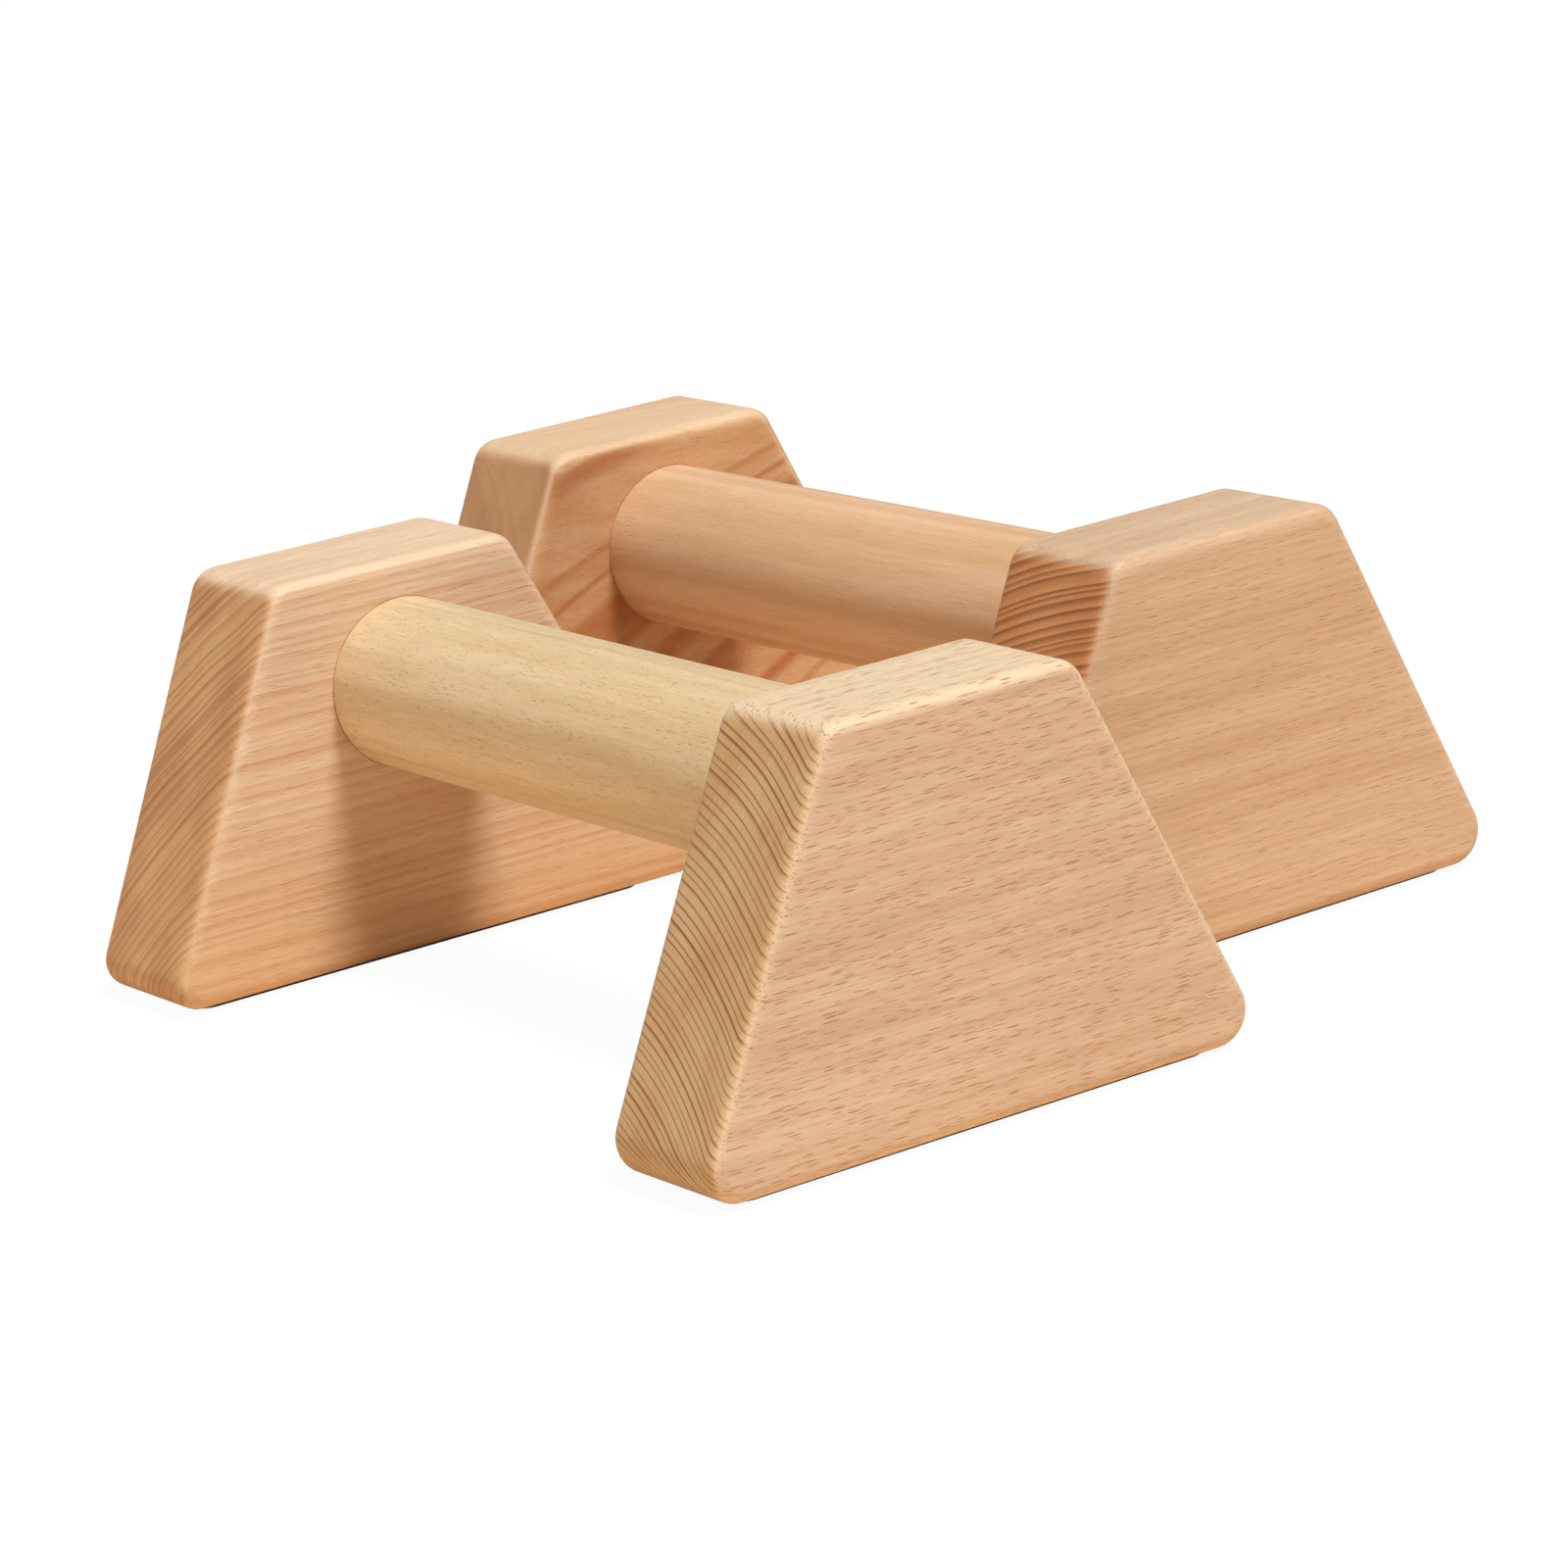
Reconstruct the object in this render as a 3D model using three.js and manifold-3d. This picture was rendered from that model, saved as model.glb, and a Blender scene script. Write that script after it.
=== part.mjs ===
// A pair of wooden push-up bars: two low stands, each a round handle glued between two trapezoid
// end blocks that rest on thin rubber pads.
//
// Millimetres. +X runs along the handles, +Y from the front stand to the back stand, +Z up.
// The origin is on the floor, midway between the two stands.

import * as THREE from 'three';
import { mergeVertices } from 'three/addons/utils/BufferGeometryUtils.js';
import Module from 'manifold-3d';

// Driving dimensions, in millimetres unless they say degrees.

const STAND_LENGTH = 250;         // along X, over the outer faces of the two end blocks

const BLOCK_THICKNESS = 37;       // along X
const BLOCK_HEIGHT = 93;
const BLOCK_BASE_WIDTH = 150;     // along Y at the underside, to the corners before rounding
const BLOCK_TOP_WIDTH = 64.5;     // along Y at the top, to the corners before rounding
const TOP_CORNER_RADIUS = 7;
const EDGE_RADIUS = 3.25;         // round-over along the rim of both flat faces

// A block's base: how far it lies towards +Y of the top, and the radii of its corners towards -Y
// and towards +Y. One block is sawn a little askew and sanded less.
const PLAIN_BASE = { shift: 0, nearRadius: 8, farRadius: 8 };
const ASKEW_BASE = { shift: 2.6, nearRadius: 6.5, farRadius: 4 };

const HANDLE_DIAMETER = 40;
const HANDLE_HEIGHT = 64;         // handle axis above the underside of the blocks
const HANDLE_END_CHAMFER = 1;

const SOCKET_DEPTH = 22;          // blind hole for the handle in a block's inner face
const SOCKET_END_SPACE = 1;       // room for surplus glue behind the handle's end
const GLUE_GAP = 0.3;             // glue film around the handle and above the pads

const PAD_THICKNESS = 0.8;
const PAD_LENGTH = 123;           // along Y
const PAD_WIDTH = 27;             // along X
const PAD_CORNER_RADIUS = 4;

const STAND_SPACING = 121;        // between the two stands' centres, along Y
const STAND_STAGGER = 59.5;       // the back stand sits this far towards -X from the front one
const STAND_TURN = 0.6;           // degrees; the stands are turned this much, opposite ways

// Fineness of the rounded shapes.

const CORNER_STEPS = 5;           // half the facets around a rounded corner
const EDGE_STEPS = 6;             // facets across an edge round-over
const ROUND_STEPS = 72;           // facets around the handle and its socket

// Heights and lengths that follow from the dimensions above.

const BLOCK_UNDERSIDE = PAD_THICKNESS + GLUE_GAP;
const BLOCK_OFFSET = (STAND_LENGTH - BLOCK_THICKNESS) / 2;
const INNER_FACE_OFFSET = STAND_LENGTH / 2 - BLOCK_THICKNESS;
const HANDLE_AXIS_Z = BLOCK_UNDERSIDE + HANDLE_HEIGHT;
const HANDLE_LENGTH = 2 * (INNER_FACE_OFFSET + SOCKET_DEPTH - SOCKET_END_SPACE);

// Materials.

const blockWood = new THREE.MeshStandardMaterial({ color: 0xdcb085, roughness: 0.55, metalness: 0 });
const handleWood = new THREE.MeshStandardMaterial({ color: 0xddc093, roughness: 0.5, metalness: 0 });
const padRubber = new THREE.MeshStandardMaterial({ color: 0x1c1a19, roughness: 0.85, metalness: 0 });

const wasm = await Module();
wasm.setup();

// A closed outline with every corner rounded. The corners run anticlockwise, each with its own radius.
function roundedOutline(corners) {
  const outline = new THREE.Shape();
  corners.forEach((corner, index) => {
    const before = corners[(index + corners.length - 1) % corners.length];
    const after = corners[(index + 1) % corners.length];
    const here = new THREE.Vector2(corner.x, corner.y);
    const incoming = here.clone().sub(before).normalize();
    const outgoing = new THREE.Vector2(after.x, after.y).sub(here).normalize();
    const turn = Math.acos(incoming.dot(outgoing));
    const tangentLength = corner.radius * Math.tan(turn / 2);
    const arcStart = here.clone().addScaledVector(incoming, -tangentLength);
    const centre = new THREE.Vector2(-incoming.y, incoming.x).multiplyScalar(corner.radius).add(arcStart);
    const startAngle = Math.atan2(-incoming.x, incoming.y);
    outline.absarc(centre.x, centre.y, corner.radius, startAngle, startAngle + turn, false);
  });
  outline.closePath();
  return outline;
}

function toSolid(geometry) {
  const bare = geometry.clone();
  bare.deleteAttribute('normal');
  bare.deleteAttribute('uv');
  const merged = mergeVertices(bare);
  const vertProperties = new Float32Array(merged.attributes.position.array);
  const triVerts = new Uint32Array(merged.index.array);
  return new wasm.Manifold(new wasm.Mesh({ numProp: 3, vertProperties, triVerts }));
}

function toGeometry(solid) {
  const mesh = solid.getMesh();
  const geometry = new THREE.BufferGeometry();
  geometry.setAttribute('position', new THREE.BufferAttribute(mesh.vertProperties, 3));
  geometry.setIndex(new THREE.BufferAttribute(mesh.triVerts, 1));
  geometry.computeVertexNormals();
  return geometry;
}

// A round bar centred on the origin with its axis along X and a chamfer on both ends.
function roundBar(diameter, length, chamfer) {
  const radius = diameter / 2;
  const end = length / 2;
  const profile = [
    new THREE.Vector2(0, -end),
    new THREE.Vector2(radius - chamfer, -end),
    new THREE.Vector2(radius, chamfer - end),
    new THREE.Vector2(radius, end - chamfer),
    new THREE.Vector2(radius - chamfer, end),
    new THREE.Vector2(0, end),
  ];
  const bar = new THREE.LatheGeometry(profile, ROUND_STEPS);
  bar.rotateZ(-Math.PI / 2);
  return bar;
}

// The trapezoid end block, centred on X, standing on its underside, before the socket is cut.
function uncutBlock(base) {
  const halfBase = BLOCK_BASE_WIDTH / 2;
  const halfTop = BLOCK_TOP_WIDTH / 2;
  const outline = roundedOutline([
    { x: base.shift - halfBase, y: 0, radius: base.nearRadius },
    { x: base.shift + halfBase, y: 0, radius: base.farRadius },
    { x: halfTop, y: BLOCK_HEIGHT, radius: TOP_CORNER_RADIUS },
    { x: -halfTop, y: BLOCK_HEIGHT, radius: TOP_CORNER_RADIUS },
  ]);
  const block = new THREE.ExtrudeGeometry(outline, {
    depth: BLOCK_THICKNESS - 2 * EDGE_RADIUS,
    curveSegments: CORNER_STEPS,
    bevelSegments: EDGE_STEPS,
    bevelThickness: EDGE_RADIUS,
    bevelSize: EDGE_RADIUS,
    bevelOffset: -EDGE_RADIUS,
  });
  block.translate(0, 0, EDGE_RADIUS - BLOCK_THICKNESS / 2);
  // The outline's x becomes Y, its y becomes Z, and the extrusion runs along X.
  block.rotateX(Math.PI / 2);
  block.rotateZ(Math.PI / 2);
  return block;
}

// An end block with its blind socket; side is -1 for the left end of a stand and 1 for the right.
function endBlockGeometry(side, base) {
  const socketDiameter = HANDLE_DIAMETER + 2 * GLUE_GAP;
  const cutter = roundBar(socketDiameter, 2 * SOCKET_DEPTH, 0);
  cutter.translate(-side * BLOCK_THICKNESS / 2, 0, HANDLE_HEIGHT);
  return toGeometry(toSolid(uncutBlock(base)).subtract(toSolid(cutter)));
}

function makeEndBlock(name, side, base) {
  const block = new THREE.Mesh(endBlockGeometry(side, base), blockWood);
  block.name = name;
  block.position.set(side * BLOCK_OFFSET, 0, BLOCK_UNDERSIDE);
  return block;
}

function makeHandle(name) {
  const bar = roundBar(HANDLE_DIAMETER, HANDLE_LENGTH, HANDLE_END_CHAMFER);
  const handle = new THREE.Mesh(bar, handleWood);
  handle.name = name;
  handle.position.set(0, 0, HANDLE_AXIS_Z);
  return handle;
}

// A thin strip with rounded corners, glued under an end block.
function makePad(name, side) {
  const halfWidth = PAD_WIDTH / 2;
  const halfLength = PAD_LENGTH / 2;
  const outline = roundedOutline([
    { x: -halfWidth, y: -halfLength, radius: PAD_CORNER_RADIUS },
    { x: halfWidth, y: -halfLength, radius: PAD_CORNER_RADIUS },
    { x: halfWidth, y: halfLength, radius: PAD_CORNER_RADIUS },
    { x: -halfWidth, y: halfLength, radius: PAD_CORNER_RADIUS },
  ]);
  const strip = new THREE.ExtrudeGeometry(outline, {
    depth: PAD_THICKNESS,
    curveSegments: CORNER_STEPS,
    bevelEnabled: false,
  });
  const pad = new THREE.Mesh(strip, padRubber);
  pad.name = name;
  pad.position.set(side * BLOCK_OFFSET, 0, 0);
  return pad;
}

// One stand, centred on its own handle and standing on the floor.
function makeStand(standName) {
  const stand = new THREE.Group();
  for (const [sideName, side] of [['left', -1], ['right', 1]]) {
    const askew = standName === 'front' && sideName === 'left';
    const base = askew ? ASKEW_BASE : PLAIN_BASE;
    stand.add(makeEndBlock(`${standName}_${sideName}_block`, side, base));
    stand.add(makePad(`${standName}_${sideName}_pad`, side));
  }
  stand.add(makeHandle(`${standName}_handle`));
  return stand;
}

// The stands lie side by side, shifted along their handles so that the blocks clear each other.
const pair = new THREE.Group();
for (const [standName, place] of [['front', -1], ['back', 1]]) {
  const stand = makeStand(standName);
  stand.position.set(-place * STAND_STAGGER / 2, place * STAND_SPACING / 2, 0);
  stand.rotation.z = place * THREE.MathUtils.degToRad(STAND_TURN);
  pair.add(stand);
}

export default pair;
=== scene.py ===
import math
import random

import bpy
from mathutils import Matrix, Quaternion, Vector


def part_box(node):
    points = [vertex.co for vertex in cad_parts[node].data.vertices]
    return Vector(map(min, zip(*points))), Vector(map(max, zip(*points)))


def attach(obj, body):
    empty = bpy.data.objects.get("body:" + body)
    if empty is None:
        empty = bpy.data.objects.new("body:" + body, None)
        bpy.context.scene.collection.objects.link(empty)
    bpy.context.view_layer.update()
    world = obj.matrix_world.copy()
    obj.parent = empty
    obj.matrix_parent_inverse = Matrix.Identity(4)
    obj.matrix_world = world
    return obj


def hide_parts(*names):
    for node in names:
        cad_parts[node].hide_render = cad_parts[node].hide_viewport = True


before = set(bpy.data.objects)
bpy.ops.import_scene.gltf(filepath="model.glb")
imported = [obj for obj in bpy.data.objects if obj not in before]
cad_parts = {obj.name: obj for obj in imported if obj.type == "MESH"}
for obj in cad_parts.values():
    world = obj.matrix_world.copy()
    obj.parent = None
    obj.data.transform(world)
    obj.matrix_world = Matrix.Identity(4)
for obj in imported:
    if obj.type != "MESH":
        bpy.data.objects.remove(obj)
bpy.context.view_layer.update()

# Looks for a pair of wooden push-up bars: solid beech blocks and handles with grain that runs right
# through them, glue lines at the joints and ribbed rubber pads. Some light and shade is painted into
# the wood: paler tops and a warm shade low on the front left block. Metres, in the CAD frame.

MM = 0.001

# The end blocks. Their places come from the frame, and these are the sizes that a turned box hides.
BLOCK_THICKNESS = 37 * MM
BLOCK_BASE_WIDTH = 150 * MM
BLOCK_TOP_WIDTH = 64.5 * MM
TOP_CORNER_RADIUS = 7 * MM
# A block's base: how far it lies towards +Y of the top, and its corners' radii towards -Y and +Y.
PLAIN_BASE = (0.0, 8 * MM, 8 * MM)
ASKEW_BASE = (2.6 * MM, 6.5 * MM, 4 * MM)
EDGE_RADIUS = 3.25 * MM
EDGE_SANDING = 0.06            # how far the hand-sanded round-over strays, as a share of its radius

# The joint between handle and block.
HANDLE_RADIUS = 20 * MM
HANDLE_END_CHAMFER = 1 * MM
HANDLE_SANDING = 0.04 * MM     # sanding takes up to this much off the radius, more in some places
GRIP_REACH = 0.6               # hands polish the handle out to this share of its half length
GRIP_WEAR = 0.5                # and this much at its middle
SOCKET_RADIUS = 20.1 * MM      # a close fit: the CAD socket is wider
SOCKET_DEPTH = 22 * MM
SOCKET_RIM = 0.1 * MM          # the socket's mouth is very slightly eased
GLUE_DEPTH = 5 * MM            # how far the glue line reaches into the socket
GLUE_RECESS = 0.05 * MM        # how far it lies behind the block's inner face
GLUE_OVERLAP = 0.05 * MM       # how far it reaches into the wood on either side
GLUE_SAG = 1.6                 # its middle lies this many times as far behind the face as its edges
FINISH_MARGIN = 0.04 * MM      # the sanded surface lies this far inside the CAD's

# The pads, a guessed part. Their dark rim, recessed under each block, is sized to show as the thin
# dark line of contact shade along its base.
PAD_WIDTH = 27 * MM
PAD_LENGTH = 123 * MM
PAD_CORNER_RADIUS = 4 * MM
PAD_THICKNESS = 1.13 * MM      # with its adhesive, so that it reaches the block
RIB_PITCH = 2.4 * MM
GROOVE_WIDTH = 1 * MM
GROOVE_DEPTH = 0.35 * MM
GROOVE_SLOPE = 0.15 * MM
PAD_SHARP_ANGLE = 30           # degrees; edges that turn more than this stay crisp

# Fineness of the meshes.
CORNER_HALF_STEPS = 6          # on each half of a block's rounded corner
LEVEL_STEPS = 46               # along the top and the bottom of a block's outline
SLANT_STEPS = 38               # along each slanted side
EDGE_STEPS = 8                 # across a round-over
SIDE_STEPS = 12                # between a block's two round-overs
FACE_LOOPS = 12                # between the round-over and the socket on a block's inner face
HANDLE_AROUND = 144
HANDLE_ALONG = 90
PAD_CORNER_STEPS = 8

STANDS = ("front", "back")
SIDES = {"left": -1, "right": 1}


def linear(hex_colour):
    """A colour as it looks on screen, such as "#e1b791", as linear red, green, blue and alpha."""
    channels = [int(hex_colour[i:i + 2], 16) / 255 for i in (1, 3, 5)]
    return [c / 12.92 if c <= 0.04045 else ((c + 0.055) / 1.055) ** 2.4 for c in channels] + [1.0]


def middle(node):
    low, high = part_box(node)
    return (low + high) / 2


def stand_turn(stand):
    """How far a stand is turned about the vertical, from the line between its two pads."""
    along = middle(f"{stand}_right_pad") - middle(f"{stand}_left_pad")
    return math.atan2(along.y, along.x)


def block_middle(stand, side_name):
    """The middle of a block, straight above its pad: an askew block's box isn't centred."""
    place = middle(f"{stand}_{side_name}_pad")
    place.z = middle(f"{stand}_{side_name}_block").z
    return place


# ---------------------------------------------------------------- mesh helpers

def bridge(faces, first, second):
    """Joins two loops with quads. They face out when the loops turn anticlockwise about +X, as seen
    from +X, and second lies further towards +X than first."""
    count = len(first)
    for i in range(count):
        j = (i + 1) % count
        faces.append((first[i], first[j], second[j], second[i]))


def make_object(name, vertices, faces, place, turn, sharp_angle=40):
    """A mesh object whose own axes are the piece's: the wood textures read them."""
    mesh = bpy.data.meshes.new(name)
    mesh.from_pydata(vertices, [], faces)
    mesh.update()
    mesh.validate()
    mesh.polygons.foreach_set("use_smooth", [True] * len(mesh.polygons))
    mesh.set_sharp_from_angle(angle=math.radians(sharp_angle))
    piece = bpy.data.objects.new(name, mesh)
    bpy.context.scene.collection.objects.link(piece)
    piece.location = place
    piece.rotation_euler = (0, 0, turn)
    return piece


def lathe(profile, steps, closed=False):
    """Vertices and faces of a profile of (x, radius) pairs turned about X. An open profile is capped
    at both ends, and a closed one joins its last point to its first."""
    vertices = []
    faces = []
    loops = []
    for x, radius in profile:
        loops.append(range(len(vertices), len(vertices) + steps))
        for i in range(steps):
            angle = 2 * math.pi * i / steps
            vertices.append((x, radius * math.cos(angle), radius * math.sin(angle)))
    for first, second in zip(loops, loops[1:]):
        bridge(faces, first, second)
    if closed:
        bridge(faces, loops[-1], loops[0])
        return vertices, faces
    for loop, (x, _), outward in ((loops[0], profile[0], False), (loops[-1], profile[-1], True)):
        centre = len(vertices)
        vertices.append((x, 0, 0))
        for i in range(steps):
            j = (i + 1) % steps
            faces.append((centre, loop[i], loop[j]) if outward else (centre, loop[j], loop[i]))
    return vertices, faces


# ---------------------------------------------------------------- end blocks

def corner_arcs(side, base, height):
    """The outline's four rounded corners, anticlockwise from a low one, as centre, radius, start
    angle and end angle. Points are (y, z) from the block's middle, seen from outside the stand."""
    half_base = BLOCK_BASE_WIDTH / 2
    half_top = BLOCK_TOP_WIDTH / 2
    shift = side * base[0]
    first_radius, second_radius = base[1:] if side > 0 else (base[2], base[1])
    corners = [
        (Vector((shift - half_base, -height / 2)), first_radius),
        (Vector((shift + half_base, -height / 2)), second_radius),
        (Vector((half_top, height / 2)), TOP_CORNER_RADIUS),
        (Vector((-half_top, height / 2)), TOP_CORNER_RADIUS),
    ]
    arcs = []
    for i, (corner, radius) in enumerate(corners):
        incoming = (corner - corners[i - 1][0]).normalized()
        outgoing = (corners[(i + 1) % 4][0] - corner).normalized()
        turn = math.acos(incoming.dot(outgoing))
        start = corner - incoming * radius * math.tan(turn / 2)
        centre = start + Vector((-incoming.y, incoming.x)) * radius
        start_angle = math.atan2(-incoming.x, incoming.y)
        arcs.append((centre, radius, start_angle, start_angle + turn))
    return arcs


def arc_points(arc, from_share, to_share, steps):
    """Points along part of an arc, each with its outward normal, without the last one."""
    centre, radius, start, end = arc
    points = []
    for i in range(steps):
        share = from_share + (to_share - from_share) * i / steps
        angle = start + (end - start) * share
        normal = Vector((math.cos(angle), math.sin(angle)))
        points.append((centre + normal * (radius - FINISH_MARGIN), normal))
    return points


def block_outline(side, base, height):
    """The four sides of the outline, each from the middle of one rounded corner to the middle of the
    next, as (point, outward normal) pairs. A side leaves its last point to the next one."""
    arcs = corner_arcs(side, base, height)
    sides = []
    for i, arc in enumerate(arcs):
        following = arcs[(i + 1) % 4]
        straight_start, normal = arc_points(arc, 1, 1, 1)[0]
        straight_end = arc_points(following, 0, 0, 1)[0][0]
        steps = LEVEL_STEPS if i % 2 == 0 else SLANT_STEPS
        points = arc_points(arc, 0.5, 1, CORNER_HALF_STEPS)
        points += [(straight_start.lerp(straight_end, k / steps), normal) for k in range(steps)]
        points += arc_points(following, 0, 0.5, CORNER_HALF_STEPS)
        sides.append(points)
    return sides


def sanded_radii(count, rng):
    """The round-over's radius at each outline point: a slow wave such as a sanding block leaves."""
    waves = [(n, rng.uniform(0, 2 * math.pi), rng.uniform(0.3, 1)) for n in (2, 3, 5, 8)]
    total = sum(weight for _, _, weight in waves)
    radii = []
    for i in range(count):
        wave = sum(w * math.sin(2 * math.pi * n * i / count + phase) for n, phase, w in waves)
        radii.append(EDGE_RADIUS * (1 + EDGE_SANDING * (1 + wave / total)))
    return radii


def patch_points(sides):
    """Inner points of a quad patch that spans four sides, row by row from the bottom."""
    bottom, right, top, left = sides
    across = len(bottom)
    up = len(right)
    bottom_row = bottom + [right[0]]
    right_column = right + [top[0]]
    top_row = list(reversed(top + [left[0]]))
    left_column = list(reversed(left + [bottom[0]]))
    rows = []
    for j in range(1, up):
        v = j / up
        row = []
        for i in range(1, across):
            u = i / across
            between_levels = bottom_row[i].lerp(top_row[i], v)
            between_sides = left_column[j].lerp(right_column[j], u)
            low = bottom_row[0].lerp(bottom_row[-1], u)
            high = top_row[0].lerp(top_row[-1], u)
            row.append(between_levels + between_sides - low.lerp(high, v))
        rows.append(row)
    return rows


def block_mesh(side, base, height, handle_height, rng):
    """An end block about its own middle, with its outer face towards side."""
    sides = block_outline(side, base, height)
    outline = [pair for one_side in sides for pair in one_side]
    count = len(outline)
    radii = sanded_radii(count, rng)
    half = BLOCK_THICKNESS / 2 - FINISH_MARGIN
    vertices = []
    wear = []
    faces = []

    def add_loop(points, x, rubbed=0.0):
        first = len(vertices)
        for i, point in enumerate(points):
            here = x[i] if isinstance(x, list) else x
            vertices.append((side * here, side * point.x, point.y))
            wear.append(rubbed)
        return list(range(first, len(vertices)))

    def rounded_loop(angle, facing):
        """One loop of the round-over, from angle 0 on the rim to a right angle on the flat face."""
        points = [p - n * r * (1 - math.cos(angle)) for (p, n), r in zip(outline, radii)]
        x = [facing * (half - r * (1 - math.sin(angle))) for r in radii]
        return add_loop(points, x, math.sin(2 * angle))

    # Outer face: a quad patch inside the loop where the round-over ends.
    outer = rounded_loop(math.pi / 2, 1)
    rim_points = [Vector((side * vertices[k][1], vertices[k][2])) for k in outer]
    split = []
    start = 0
    for one_side in sides:
        split.append(rim_points[start:start + len(one_side)])
        start += len(one_side)
    rows = patch_points(split)
    across = len(sides[0])
    up = len(sides[1])
    grid = [outer[:across + 1]]
    for j, row in enumerate(rows, start=1):
        inner = add_loop(row, half)
        grid.append([outer[-j]] + inner + [outer[across + j]])
    grid.append([outer[(2 * across + up) - i] for i in range(across + 1)])
    for low_row, high_row in zip(grid, grid[1:]):
        for i in range(across):
            faces.append((low_row[i], low_row[i + 1], high_row[i + 1], high_row[i]))

    # Round-over, rim and round-over again, from the outer face to the inner one.
    loops = [outer]
    for k in range(EDGE_STEPS - 1, -1, -1):
        loops.append(rounded_loop(math.pi / 2 * k / EDGE_STEPS, 1))
    for k in range(1, SIDE_STEPS):
        share = k / SIDE_STEPS
        x = [(half - r) * (1 - 2 * share) for r in radii]
        loops.append(add_loop([p for p, _ in outline], x))
    for k in range(EDGE_STEPS + 1):
        loops.append(rounded_loop(math.pi / 2 * k / EDGE_STEPS, -1))

    # Inner face, from the round-over in to the mouth of the socket.
    inner_rim = [Vector((side * vertices[k][1], vertices[k][2])) for k in loops[-1]]
    centre = Vector((0, handle_height))
    angles = [math.atan2(p.y - centre.y, p.x - centre.x) for p in inner_rim]
    rays = [Vector((math.cos(a), math.sin(a))) for a in angles]
    for k in range(1, FACE_LOOPS + 1):
        share = k / FACE_LOOPS
        mouth = [centre + ray * (SOCKET_RADIUS + SOCKET_RIM) for ray in rays]
        loops.append(add_loop([p.lerp(m, share) for p, m in zip(inner_rim, mouth)], -half))

    # Socket: eased mouth, wall and floor.
    wall = [centre + ray * SOCKET_RADIUS for ray in rays]
    loops.append(add_loop(wall, SOCKET_RIM - half))
    loops.append(add_loop(wall, GLUE_DEPTH - half))
    loops.append(add_loop(wall, SOCKET_DEPTH - half))
    for shrink in (0.66, 0.33):
        loops.append(add_loop([centre.lerp(p, shrink) for p in wall], SOCKET_DEPTH - half))
    for outer_loop, inner_loop in zip(loops, loops[1:]):
        bridge(faces, inner_loop, outer_loop)
    floor_centre = add_loop([centre], SOCKET_DEPTH - half)[0]
    last = loops[-1]
    for i in range(count):
        faces.append((last[(i + 1) % count], last[i], floor_centre))
    return vertices, faces, wear


def make_block(stand, side_name, look):
    side = SIDES[side_name]
    node = f"{stand}_{side_name}_block"
    low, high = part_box(node)
    handle_height = middle(f"{stand}_handle").z - middle(node).z
    rng = random.Random(f"{node} sanding")
    askew = (stand, side_name) == ("front", "left")
    base = ASKEW_BASE if askew else PLAIN_BASE
    vertices, faces, wear = block_mesh(side, base, high.z - low.z, handle_height, rng)
    place = block_middle(stand, side_name)
    block = make_object(f"{node}_wood", vertices, faces, place, stand_turn(stand))
    attribute = block.data.attributes.new("wear", "FLOAT", "POINT")
    attribute.data.foreach_set("value", wear)
    block.data.materials.append(wood_material(f"{node}_beech", look))
    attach(block, f"{stand}_stand")
    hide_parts(node)
    return block


# ---------------------------------------------------------------- handles and glue lines

def make_handle(stand, look):
    node = f"{stand}_handle"
    low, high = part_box(node)
    turn = stand_turn(stand)
    # The box of a turned bar is longer than the bar by its width's share.
    half = ((high.x - low.x) - 2 * HANDLE_RADIUS * abs(math.sin(turn))) / 2 / math.cos(turn)
    rng = random.Random(f"{node} sanding")
    waves = [(n, rng.uniform(0, 2 * math.pi)) for n in (1, 3, 4)]
    straight = half - HANDLE_END_CHAMFER
    profile = [(-half, HANDLE_RADIUS / 2), (-half, HANDLE_RADIUS - HANDLE_END_CHAMFER)]
    for i in range(HANDLE_ALONG + 1):
        share = i / HANDLE_ALONG
        wave = sum(math.sin(2 * math.pi * n * share + phase) for n, phase in waves) / len(waves)
        radius = HANDLE_RADIUS - HANDLE_SANDING * (1 + wave) / 2
        profile.append((straight * (2 * share - 1), radius))
    profile += [(half, HANDLE_RADIUS - HANDLE_END_CHAMFER), (half, HANDLE_RADIUS / 2)]
    vertices, faces = lathe(profile, HANDLE_AROUND)
    handle = make_object(f"{node}_wood", vertices, faces, middle(node), turn)
    attribute = handle.data.attributes.new("wear", "FLOAT", "POINT")
    grip = [GRIP_WEAR * max(0.0, 1 - (v[0] / (GRIP_REACH * half)) ** 2) for v in vertices]
    attribute.data.foreach_set("value", grip)
    handle.data.materials.append(wood_material(f"{node}_beech", look))
    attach(handle, f"{stand}_stand")
    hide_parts(node)
    return handle


def make_glue_line(stand, side_name, material):
    """The dried glue that shows as a thin line where the handle enters a block."""
    side = SIDES[side_name]
    inner_radius = HANDLE_RADIUS - GLUE_OVERLAP
    outer_radius = SOCKET_RADIUS + GLUE_OVERLAP / 2
    middle_radius = (inner_radius + outer_radius) / 2
    profile = [
        (GLUE_DEPTH, inner_radius),
        (GLUE_RECESS, inner_radius),
        (GLUE_RECESS * GLUE_SAG, middle_radius),
        (GLUE_RECESS, outer_radius),
        (GLUE_DEPTH, outer_radius),
    ]
    if side < 0:
        profile = [(-x, radius) for x, radius in reversed(profile)]
    vertices, faces = lathe(profile, HANDLE_AROUND, closed=True)
    turn = stand_turn(stand)
    inward = Vector((math.cos(turn), math.sin(turn), 0)) * -side
    place = block_middle(stand, side_name) + inward * BLOCK_THICKNESS / 2
    place.z = middle(f"{stand}_handle").z
    ring = make_object(f"{stand}_{side_name}_glue_line", vertices, faces, place, turn)
    ring.data.materials.append(material)
    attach(ring, f"{stand}_stand")
    return ring


# ---------------------------------------------------------------- pads

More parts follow.
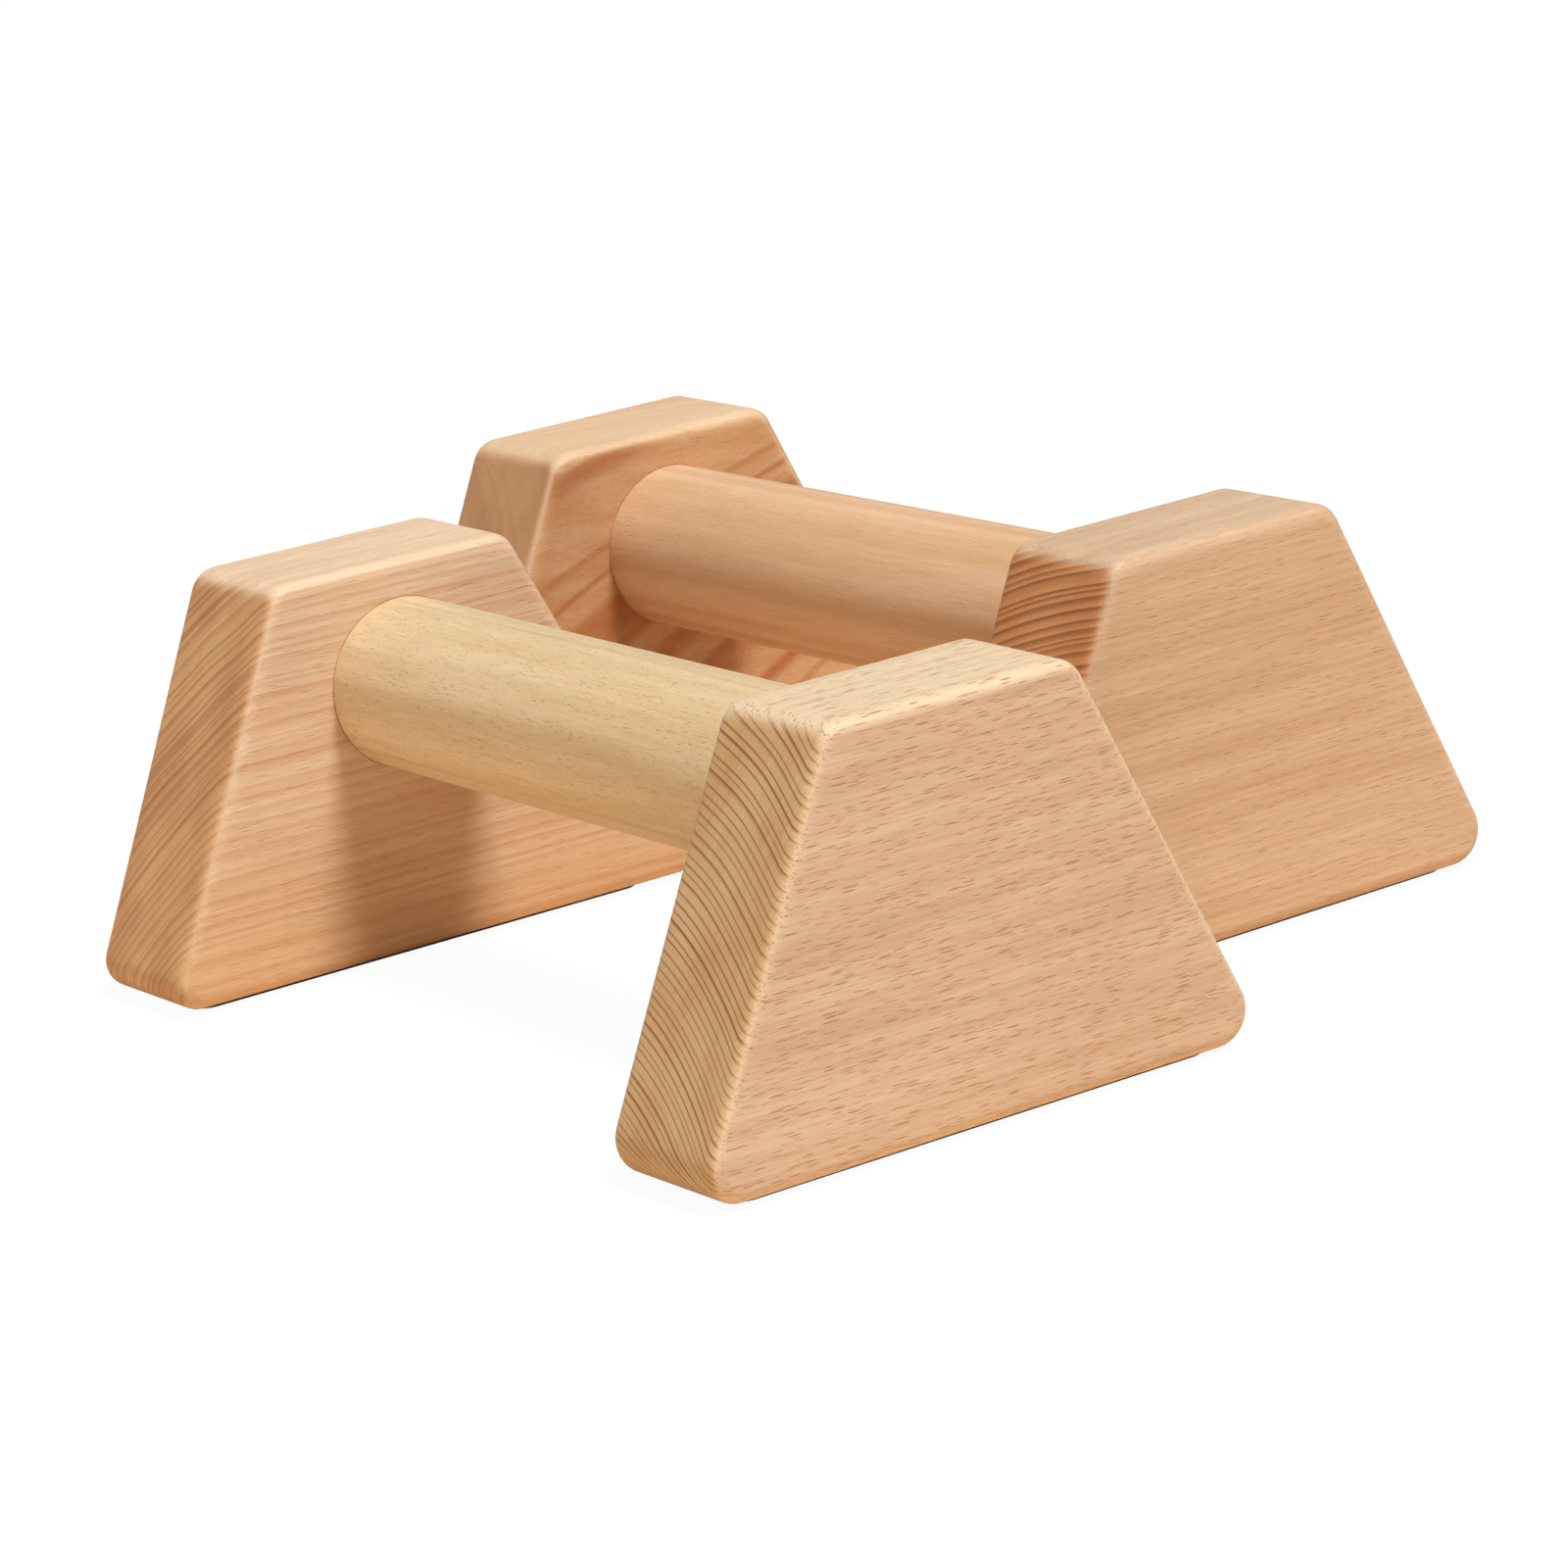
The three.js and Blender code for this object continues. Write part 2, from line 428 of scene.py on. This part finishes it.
def pad_half_length(x):
    """The pad's plan has rounded corners, so its edges are shorter than its middle."""
    beyond = abs(x) - (PAD_WIDTH / 2 - PAD_CORNER_RADIUS)
    if beyond <= 0:
        return PAD_LENGTH / 2
    inward = PAD_CORNER_RADIUS - math.sqrt(max(0.0, PAD_CORNER_RADIUS ** 2 - beyond ** 2))
    return PAD_LENGTH / 2 - inward


def pad_stations():
    """Places across the pad, as (x, height of its underside): flat ribs between sloped grooves."""
    rim = []
    for i in range(PAD_CORNER_STEPS + 1):
        share = 1 - math.cos(math.pi / 2 * i / PAD_CORNER_STEPS)
        rim.append((-PAD_WIDTH / 2 + share * PAD_CORNER_RADIUS, 0))
    first = -PAD_WIDTH / 2 + PAD_CORNER_RADIUS + GROOVE_WIDTH
    count = int(-2 * first / RIB_PITCH) + 1
    first = -(count - 1) * RIB_PITCH / 2
    stations = list(rim)
    for i in range(count):
        centre = first + i * RIB_PITCH
        stations += [
            (centre - GROOVE_WIDTH / 2, 0),
            (centre - GROOVE_WIDTH / 2 + GROOVE_SLOPE, GROOVE_DEPTH),
            (centre + GROOVE_WIDTH / 2 - GROOVE_SLOPE, GROOVE_DEPTH),
            (centre + GROOVE_WIDTH / 2, 0),
        ]
    return stations + [(-x, z) for x, z in reversed(rim)]


def make_pad(stand, side_name, material):
    node = f"{stand}_{side_name}_pad"
    vertices = []
    faces = []
    loops = []
    for x, underside in pad_stations():
        half = pad_half_length(x)
        loops.append(list(range(len(vertices), len(vertices) + 4)))
        vertices += [(x, -half, underside), (x, half, underside)]
        vertices += [(x, half, PAD_THICKNESS), (x, -half, PAD_THICKNESS)]
    for first, second in zip(loops, loops[1:]):
        bridge(faces, first, second)
    faces.append(tuple(reversed(loops[0])))
    faces.append(tuple(loops[-1]))
    centre = middle(node)
    place = (centre.x, centre.y, 0)
    pad = make_object(f"{node}_rubber", vertices, faces, place, stand_turn(stand), PAD_SHARP_ANGLE)
    pad.data.materials.append(material)
    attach(pad, f"{stand}_stand")
    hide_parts(node)
    return pad


# ---------------------------------------------------------------- node helpers

def plug(tree, socket, value):
    if isinstance(value, bpy.types.NodeSocket):
        tree.links.new(value, socket)
    else:
        socket.default_value = value


def add_node(tree, kind, inputs, output=0, **settings):
    """Adds a node, fills its inputs (by name or number) and returns one of its output sockets."""
    node = tree.nodes.new(kind)
    for name, value in settings.items():
        setattr(node, name, value)
    for key, value in inputs.items():
        plug(tree, node.inputs[key], value)
    return node.outputs[output]


def maths(tree, operation, *values, clamp=False):
    inputs = dict(enumerate(values))
    return add_node(tree, "ShaderNodeMath", inputs, operation=operation, use_clamp=clamp)


def vector_maths(tree, operation, *values, output=0):
    inputs = dict(enumerate(values))
    return add_node(tree, "ShaderNodeVectorMath", inputs, output, operation=operation)


def smooth_step(tree, value, low, high, to_low=0.0, to_high=1.0):
    inputs = {"Value": value, "From Min": low, "From Max": high, "To Min": to_low, "To Max": to_high}
    return add_node(tree, "ShaderNodeMapRange", inputs, interpolation_type="SMOOTHSTEP")


def combine(tree, x, y, z):
    return add_node(tree, "ShaderNodeCombineXYZ", {0: x, 1: y, 2: z})


def separate(tree, vector):
    node = tree.nodes.new("ShaderNodeSeparateXYZ")
    plug(tree, node.inputs[0], vector)
    return node.outputs[0], node.outputs[1], node.outputs[2]


def noise(tree, vector, detail=2.0, roughness=0.5, output="Fac"):
    inputs = {"Vector": vector, "Scale": 1.0, "Detail": detail, "Roughness": roughness}
    return add_node(tree, "ShaderNodeTexNoise", inputs, output)


def mix_colour(tree, factor, first, second, blend="MIX"):
    node = tree.nodes.new("ShaderNodeMix")
    node.data_type = "RGBA"
    node.blend_type = blend
    plug(tree, node.inputs["Factor"], factor)
    plug(tree, node.inputs[6], first)
    plug(tree, node.inputs[7], second)
    return node.outputs[2]


def new_material(name):
    material = bpy.data.materials.new(name)
    material.use_nodes = True
    return material, material.node_tree, material.node_tree.nodes["Principled BSDF"]


# ---------------------------------------------------------------- beech

# What sets one piece of beech apart from another. Lengths are in millimetres from the piece's middle,
# in axes where the grain runs along Y once the piece is turned by tilt (degrees about X, Y and Z).
BEECH = {
    "seed": 0.0,
    "tilt": (0, 0, 0),
    "pith": (-27, -146),         # the (x, z) place of the tree's centre
    "bend": 0.0,                 # how fast the rings bend away from round, across X
    "wobble": 0.45,              # how far the rings wander
    "ring": 2.0,                 # width of a ring
    "crowding": 1.0,             # below 1, the rings get narrower towards the pith
    "uneven": 0.8,               # how much the width of the rings changes
    "late": 0.3,                 # the share of each ring that is dark latewood
    "stop": 0.93,                # where in the ring the dark wood starts to end
    "variety": 0.3,              # how much fainter the faintest ring is than the darkest
    "ring_on_side": 0.2,
    "ring_on_end": 0.8,
    "ray_cell": (0.5, 3.8, 1.15),  # one ray in each cell: around the tree, along it and out from the pith
    "ray_size": (0.22, 1.8, 0.2),
    "ray_share": 0.95,
    "ray_on_side": 0.7,
    "ray_on_end": 0.3,
    "light": "#d6ba9a",
    "deep": "#ccaa87",
    "pale": "#e6cba6",           # painted highlight: faces that turn from the plank's wide faces, the top above all, are painted paler
    "painted_light_share": 0.25,
    "ring_in_painted_light": 1.0,         # how much of the rings is left under that painted highlight
    "painted_shade": (0, 1),             # painted warm shade: full this far from the pith, and gone that far out
    "painted_shade_tint": "#ffffff",
    "side_ring": "#b5794c",
    "side_ray": "#b5642c",
    "side_ray_cool": "#a5785e",
    "end": "#c6a273",
    "end_deep": "#bf9059",
    "end_ring": "#8a5027",
    "end_ray": "#dcc39c",
}
LOG_BEND_FROM = -18.5            # the bend starts here, at a block's face towards -X
NOISE_TO_REACH = 4               # noise mostly stays within a quarter of its middle
SPACING_PACE = 0.37              # how fast the width of the rings changes, from one to the next

# Sizes of the loose textures in millimetres: across the grain, along it and across it again.
WANDER_SIZE = (30, 130, 30)
STREAK_SIZE = (6, 90, 5)
FIBRE_SIZE = (0.4, 9, 0.4)
END_PATCH_SIZE = (14, 200, 22)
END_RAY_SIZE = (0.3, 60, 9)      # around the tree, along it and out from its pith

# How the wood's surface answers light.
WOOD_ROUGHNESS = 0.55
RAY_ROUGHNESS = 0.12             # added where there is a ray
END_ROUGHNESS = 0.12             # added where the surface is cut across the grain
FIBRE_ROUGHNESS = 0.08
WEAR_POLISH = 0.08               # taken away where the piece is rubbed
FIBRE_RELIEF = 0.35
RING_RELIEF = 0.04
RELIEF_STRENGTH = 0.6
RELIEF_DEPTH = 0.1 * MM
FIBRE_TONES = (0.93, 1.06)       # how much the fibres darken and lighten the wood


def log_space(tree, look):
    """Two places for each point, in millimetres: one for loose texture, with the grain along Y, and
    one in the tree, as distance around it, along it and out from its pith."""
    position = add_node(tree, "ShaderNodeTexCoord", {}, "Object")
    turned = [math.radians(angle) for angle in look["tilt"]]
    inputs = {"Vector": position, "Scale": (1000, 1000, 1000), "Rotation": turned}
    millimetres = add_node(tree, "ShaderNodeMapping", inputs)
    offset = [look["seed"] * step for step in (37.1, 91.7, 13.3)]
    loose = vector_maths(tree, "ADD", millimetres, offset)

    slow = vector_maths(tree, "DIVIDE", loose, WANDER_SIZE)
    wander = noise(tree, slow, detail=1.0, output="Color")
    wander = vector_maths(tree, "SUBTRACT", wander, (0.5, 0.5, 0.5))
    reach = look["wobble"] * NOISE_TO_REACH
    wander = vector_maths(tree, "MULTIPLY", wander, (reach, reach, reach))
    x, y, z = separate(tree, vector_maths(tree, "ADD", millimetres, wander))
    from_bend = maths(tree, "SUBTRACT", x, LOG_BEND_FROM)
    bend = maths(tree, "MULTIPLY", maths(tree, "MULTIPLY", from_bend, from_bend), look["bend"])
    x = maths(tree, "SUBTRACT", x, look["pith"][0])
    z = maths(tree, "ADD", maths(tree, "SUBTRACT", z, look["pith"][1]), bend)
    angle = maths(tree, "ARCTAN2", x, z)
    around = maths(tree, "MULTIPLY", angle, math.hypot(*look["pith"]))
    out = vector_maths(tree, "LENGTH", combine(tree, x, 0.0, z), output="Value")
    return loose, combine(tree, around, y, out)


def ring_pattern(tree, in_tree, look):
    """How dark the latewood is at each point: a slow rise through each year and a sharp end."""
    _, _, out = separate(tree, in_tree)
    middle_out = math.hypot(*look["pith"])
    count = middle_out / look["ring"] / look["crowding"]
    share_out = maths(tree, "DIVIDE", out, middle_out)
    rings = maths(tree, "MULTIPLY", maths(tree, "POWER", share_out, look["crowding"]), count)
    inputs = {"W": maths(tree, "MULTIPLY", rings, SPACING_PACE), "Scale": 1.0}
    uneven = add_node(tree, "ShaderNodeTexNoise", inputs, noise_dimensions="1D")
    rings = maths(tree, "ADD", rings, maths(tree, "MULTIPLY", uneven, look["uneven"] * 2))
    year = maths(tree, "ADD", maths(tree, "FLOOR", rings), look["seed"])
    chance = add_node(tree, "ShaderNodeTexWhiteNoise", {"W": year}, "Value", noise_dimensions="1D")
    strength = maths(tree, "SUBTRACT", 1.0, maths(tree, "MULTIPLY", chance, look["variety"]))
    season = maths(tree, "FRACT", rings)
    rise = smooth_step(tree, season, 1 - look["late"] * 1.5, look["stop"])
    stop = smooth_step(tree, season, look["stop"], 1.0, 1.0, 0.0)
    return maths(tree, "MULTIPLY", maths(tree, "MULTIPLY", rise, stop), strength)


def end_ray_pattern(tree, in_tree):
    """On end grain the rays are fine pale lines that cross the rings on their way out."""
    space = vector_maths(tree, "DIVIDE", in_tree, END_RAY_SIZE)
    return smooth_step(tree, noise(tree, space, detail=2.0), 0.48, 0.68)


def side_ray_pattern(tree, in_tree, look):
    """On side grain the rays are short dark spindles. Returns where they are, and a random tone."""
    cell = look["ray_cell"]
    scaled = vector_maths(tree, "DIVIDE", in_tree, cell)
    voronoi = tree.nodes.new("ShaderNodeTexVoronoi")
    plug(tree, voronoi.inputs["Vector"], scaled)
    voronoi.inputs["Scale"].default_value = 1.0
    away = vector_maths(tree, "SUBTRACT", scaled, voronoi.outputs["Position"])
    chance, length, tone = separate(tree, voronoi.outputs["Color"])
    stretch = [width / half for width, half in zip(cell, look["ray_size"])]
    reach = vector_maths(tree, "LENGTH", vector_maths(tree, "MULTIPLY", away, stretch), output="Value")
    size = maths(tree, "ADD", maths(tree, "MULTIPLY", length, 0.9), 0.55)
    spindle = smooth_step(tree, maths(tree, "DIVIDE", reach, size), 0.6, 1.05, 1.0, 0.0)
    present = maths(tree, "LESS_THAN", chance, look["ray_share"])
    strength = maths(tree, "ADD", maths(tree, "MULTIPLY", tone, 0.6), 0.4)
    return maths(tree, "MULTIPLY", maths(tree, "MULTIPLY", spindle, present), strength), tone


def cut_shares(tree, look):
    """How far a surface is cut across the grain, and how far it turns from the plank's wide faces."""
    normal = add_node(tree, "ShaderNodeTexCoord", {}, "Normal")
    turned = [math.radians(angle) for angle in look["tilt"]]
    inputs = {"Vector": normal, "Rotation": turned}
    normal = add_node(tree, "ShaderNodeMapping", inputs, vector_type="NORMAL")
    across, along, _ = separate(tree, normal)
    end = smooth_step(tree, maths(tree, "ABSOLUTE", along), 0.5, 0.88)
    return end, smooth_step(tree, maths(tree, "ABSOLUTE", across), 0.7, 0.98, 1.0, 0.0)


def wood_colour(tree, loose, in_tree, rings, rays, tone, fibres, end, edge, look):
    def layer(base, mask, strength, colour):
        return mix_colour(tree, maths(tree, "MULTIPLY", mask, strength), base, linear(colour))

    streak_space = vector_maths(tree, "DIVIDE", loose, STREAK_SIZE)
    streaks = smooth_step(tree, noise(tree, streak_space, detail=4.0, roughness=0.6), 0.3, 0.7)
    side = mix_colour(tree, streaks, linear(look["light"]), linear(look["deep"]))
    # Painted highlight: where the surface turns from the wide faces, the top above all, the wood is painted
    # paler and its rings fainter. This stands in for the strong light on the top.
    side = layer(side, edge, look["painted_light_share"], look["pale"])
    fading = smooth_step(tree, edge, 0.0, 1.0, 1.0, look["ring_in_painted_light"])
    side_rings = maths(tree, "MULTIPLY", rings, fading)
    side = layer(side, side_rings, look["ring_on_side"], look["side_ring"])
    ray_colour = mix_colour(tree, tone, linear(look["side_ray"]), linear(look["side_ray_cool"]))
    side = mix_colour(tree, maths(tree, "MULTIPLY", rays, look["ray_on_side"]), side, ray_colour)
    # Painted shade: near the pith, which lies low on the block, the side grain is darkened and warmed. This
    # stands in for shadow and warm bounce light.
    _, _, from_pith = separate(tree, in_tree)
    painted_shade = smooth_step(tree, from_pith, *look["painted_shade"], 1.0, 0.0)
    side = mix_colour(tree, painted_shade, side, linear(look["painted_shade_tint"]), blend="MULTIPLY")
    patch_space = vector_maths(tree, "DIVIDE", loose, END_PATCH_SIZE)
    patches = smooth_step(tree, noise(tree, patch_space), 0.3, 0.7)
    cut = mix_colour(tree, patches, linear(look["end"]), linear(look["end_deep"]))
    cut = layer(cut, end_ray_pattern(tree, in_tree), look["ray_on_end"], look["end_ray"])
    cut = layer(cut, rings, look["ring_on_end"], look["end_ring"])
    colour = mix_colour(tree, end, side, cut)
    light = smooth_step(tree, fibres, 0.3, 0.7, *FIBRE_TONES)
    return mix_colour(tree, 1.0, colour, combine(tree, light, light, light), blend="MULTIPLY")


def wood_material(name, changes):
    look = dict(BEECH, **changes)
    material, tree, shader = new_material(name)
    loose, in_tree = log_space(tree, look)
    rings = ring_pattern(tree, in_tree, look)
    rays, tone = side_ray_pattern(tree, in_tree, look)
    fibre_space = vector_maths(tree, "DIVIDE", loose, FIBRE_SIZE)
    fibres = noise(tree, fibre_space, detail=3.0, roughness=0.65)
    end, edge = cut_shares(tree, look)
    side = maths(tree, "SUBTRACT", 1.0, end)
    colour = wood_colour(tree, loose, in_tree, rings, rays, tone, fibres, end, edge, look)
    plug(tree, shader.inputs["Base Color"], colour)

    wear = add_node(tree, "ShaderNodeAttribute", {}, "Fac", attribute_name="wear")
    rough = maths(tree, "ADD", maths(tree, "MULTIPLY", rays, RAY_ROUGHNESS), WOOD_ROUGHNESS)
    rough = maths(tree, "ADD", rough, maths(tree, "MULTIPLY", end, END_ROUGHNESS))
    rough = maths(tree, "ADD", rough, maths(tree, "MULTIPLY", fibres, FIBRE_ROUGHNESS))
    rough = maths(tree, "SUBTRACT", rough, maths(tree, "MULTIPLY", wear, WEAR_POLISH))
    plug(tree, shader.inputs["Roughness"], rough)
    shader.inputs["Specular IOR Level"].default_value = 0.5
    shader.inputs["Sheen Weight"].default_value = 0.1
    shader.inputs["Sheen Roughness"].default_value = 0.4

    height = maths(tree, "MULTIPLY", fibres, FIBRE_RELIEF)
    height = maths(tree, "SUBTRACT", height, maths(tree, "MULTIPLY", rays, side))
    ring_relief = maths(tree, "MULTIPLY", end, RING_RELIEF)
    height = maths(tree, "ADD", height, maths(tree, "MULTIPLY", rings, ring_relief))
    inputs = {"Height": height, "Strength": RELIEF_STRENGTH, "Distance": RELIEF_DEPTH}
    bump = add_node(tree, "ShaderNodeBump", inputs)
    plug(tree, shader.inputs["Normal"], bump)
    return material


# ---------------------------------------------------------------- glue and rubber

BLOTCHES_PER_METRE = 900
GRAINS_PER_METRE = 2500
DUST_PER_METRE = 90


def lumps(tree, per_metre, detail):
    """Noise in a piece's own space, with about this many lumps to the metre."""
    position = add_node(tree, "ShaderNodeTexCoord", {}, "Object")
    scaled = vector_maths(tree, "MULTIPLY", position, (per_metre, per_metre, per_metre))
    return noise(tree, scaled, detail=detail)


def glue_material():
    material, tree, shader = new_material("dried_glue")
    blotches = lumps(tree, BLOTCHES_PER_METRE, 3.0)
    colour = mix_colour(tree, smooth_step(tree, blotches, 0.35, 0.65), linear("#a3744a"), linear("#c09566"))
    plug(tree, shader.inputs["Base Color"], colour)
    plug(tree, shader.inputs["Roughness"], smooth_step(tree, blotches, 0.3, 0.7, 0.35, 0.6))
    return material


def rubber_material():
    material, tree, shader = new_material("pad_rubber")
    grain = lumps(tree, GRAINS_PER_METRE, 3.0)
    dust = lumps(tree, DUST_PER_METRE, 4.0)
    # Dark rubber. On the pads' recessed rim it also stands in for the contact shade under each block.
    colour = mix_colour(tree, smooth_step(tree, dust, 0.4, 0.75), linear("#2a2420"), linear("#433b35"))
    plug(tree, shader.inputs["Base Color"], colour)
    plug(tree, shader.inputs["Roughness"], smooth_step(tree, dust, 0.3, 0.7, 0.7, 0.9))
    bump = add_node(tree, "ShaderNodeBump", {"Height": grain, "Strength": 0.4, "Distance": 0.05 * MM})
    plug(tree, shader.inputs["Normal"], bump)
    return material


# ---------------------------------------------------------------- the pieces

LOOKS = {
    "front_right_block": {
        "seed": 0.0, "pith": (-60, -146), "bend": 0.0032, "wobble": 0.28, "ring": 1.75,
        "crowding": 0.3, "late": 0.26, "ring_on_end": 1.0, "painted_light_share": 0.85,
        "ray_cell": (0.45, 3.8, 0.78), "ray_size": (0.17, 1.9, 0.13), "ray_on_side": 0.95,
        "side_ray": "#b5692f", "side_ray_cool": "#b07a50", "light": "#d6bda1", "deep": "#c9aa8d",
        "end": "#cbac7e", "end_deep": "#c39a66", "end_ring": "#8c4a1c",
    },
    # The front left block has painted warm shade low on its inner face, around the handle's shadow.
    "front_left_block": {
        "seed": 1.0, "pith": (140, -150), "wobble": 1.0, "ring": 2.2, "uneven": 1.1, "late": 0.5,
        "variety": 0.65, "ring_on_side": 0.38, "ring_in_painted_light": 0.45, "ring_on_end": 0.6,
        "ray_share": 0.7, "ray_on_side": 0.2, "ray_on_end": 0.08, "light": "#e4c9ab",
        "deep": "#dbb896", "side_ring": "#b9743f", "end": "#cfa471", "end_deep": "#c28f5e",
        "end_ring": "#8f5328", "painted_shade": (158, 205), "painted_shade_tint": "#efe3d0",
    },
    "back_right_block": {
        "seed": 2.0, "pith": (50, -141), "ring": 1.9, "late": 0.55, "ray_on_side": 0.45,
        "ray_on_end": 0.06, "ray_size": (0.2, 1.6, 0.16), "light": "#d4b695", "deep": "#c8a482",
        "painted_light_share": 0.1, "end": "#d5945b", "end_deep": "#cc884e", "end_ring": "#7c3a16",
    },
    "back_left_block": {
        "seed": 3.0, "tilt": (0, 0, 14), "pith": (-90, -60), "wobble": 0.9, "ring": 6.8,
        "late": 0.38, "stop": 0.72, "uneven": 1.8, "variety": 0.6, "ring_on_side": 0.8,
        "ring_in_painted_light": 0.2, "painted_light_share": 0.6, "ring_on_end": 0.2, "ray_share": 0.3,
        "ray_on_side": 0.3, "ray_on_end": 0.03, "light": "#d1a47a", "deep": "#c4905f",
        "side_ring": "#ab5f2b", "end": "#c49568", "end_deep": "#ae7e54", "end_ring": "#8f6238",
    },
    "front_handle": {
        "seed": 4.0, "tilt": (0, 0, 90), "pith": (-40, -18), "ring": 9, "late": 0.1,
        "ring_on_side": 0.3, "ray_cell": (0.34, 1.9, 0.55), "ray_size": (0.11, 0.85, 0.1),
        "ray_on_side": 0.42, "light": "#dfc49b", "deep": "#d4b688", "side_ring": "#a87e4a",
        "side_ray": "#9e6c34", "side_ray_cool": "#a5763f", "painted_light_share": 0.0,
    },
    "back_handle": {
        "seed": 5.0, "tilt": (0, 0, 90), "pith": (-40, -22), "ring": 5.0, "late": 0.6, "stop": 0.8,
        "ring_on_side": 0.35, "ray_cell": (0.42, 2.1, 0.85), "ray_size": (0.13, 0.8, 0.11),
        "ray_on_side": 0.13, "light": "#e0b892", "deep": "#d6aa7c", "side_ring": "#bd8b56",
        "side_ray": "#9c7440", "painted_light_share": 0.0,
    },
}


def make_stands():
    glue = glue_material()
    rubber = rubber_material()
    for stand in STANDS:
        make_handle(stand, LOOKS[f"{stand}_handle"])
        for side_name in SIDES:
            make_block(stand, side_name, LOOKS[f"{stand}_{side_name}_block"])
            make_glue_line(stand, side_name, glue)
            make_pad(stand, side_name, rubber)


# ---------------------------------------------------------------- floor, lights and camera

FLOOR_SIZE = 12.0
FLOOR_DROP = 0.1 * MM
FLOOR_GLOW = 0.95
SKY_STRENGTH = 0.22
CAMERA_TARGET = Vector((0.0461, -0.0297, 0.0498))
CAMERA_AZIMUTH = math.radians(54.92)
CAMERA_ELEVATION = math.radians(14.84)
CAMERA_ROLL = math.radians(-5.69)
CAMERA_DISTANCE = 1.354
CAMERA_LENS = 140.46


def make_plane(name, height, colour, glow):
    half = FLOOR_SIZE / 2
    corners = [(-half, -half, 0), (half, -half, 0), (half, half, 0), (-half, half, 0)]
    plane = make_object(name, corners, [(0, 1, 2, 3)], (0, 0, height), 0)
    material, tree, shader = new_material(name)
    shader.inputs["Base Color"].default_value = linear(colour)
    shader.inputs["Roughness"].default_value = 1.0
    shader.inputs["Specular IOR Level"].default_value = 0.0
    shader.inputs["Emission Color"].default_value = (1, 1, 1, 1)
    shader.inputs["Emission Strength"].default_value = glow
    plane.data.materials.append(material)
    return plane


def make_floor():
    """A white floor that is only looked at, over a warm reflector that only lights the object."""
    floor = make_plane("white_floor", -FLOOR_DROP, "#454545", FLOOR_GLOW)
    floor.visible_diffuse = False
    floor.visible_glossy = False
    floor.visible_shadow = False
    reflector = make_plane("warm_reflector", -2 * FLOOR_DROP, "#eccba4", 0.0)
    reflector.visible_camera = False


def make_softbox(name, direction, strength, spread):
    """A far, soft light. Its direction points from the object to the light, its spread is in degrees."""
    light = bpy.data.lights.new(name, "SUN")
    light.energy = strength
    light.angle = math.radians(spread)
    lamp = bpy.data.objects.new(name, light)
    bpy.context.scene.collection.objects.link(lamp)
    lamp.rotation_euler = Vector(direction).to_track_quat("Z", "Y").to_euler()


def make_lights():
    make_softbox("key", direction=(0.42, 0.09, 0.9), strength=3.3, spread=16)
    make_softbox("fill", direction=(0.15, -0.85, 0.5), strength=0.6, spread=70)
    world = bpy.data.worlds.new("studio")
    world.use_nodes = True
    background = world.node_tree.nodes["Background"]
    background.inputs["Color"].default_value = (1, 1, 1, 1)
    background.inputs["Strength"].default_value = SKY_STRENGTH
    bpy.context.scene.world = world


def make_camera():
    camera = bpy.data.cameras.new("camera")
    camera.lens = CAMERA_LENS
    viewer = bpy.data.objects.new("camera", camera)
    bpy.context.scene.collection.objects.link(viewer)
    back = Vector((
        math.sin(CAMERA_AZIMUTH) * math.cos(CAMERA_ELEVATION),
        -math.cos(CAMERA_AZIMUTH) * math.cos(CAMERA_ELEVATION),
        math.sin(CAMERA_ELEVATION),
    ))
    viewer.location = CAMERA_TARGET + back * CAMERA_DISTANCE
    level = back.to_track_quat("Z", "Y")
    viewer.rotation_mode = "QUATERNION"
    viewer.rotation_quaternion = level @ Quaternion((0, 0, 1), CAMERA_ROLL)
    bpy.context.scene.camera = viewer


make_camera()
make_floor()
make_lights()
make_stands()
bpy.context.scene.view_settings.view_transform = "Standard"
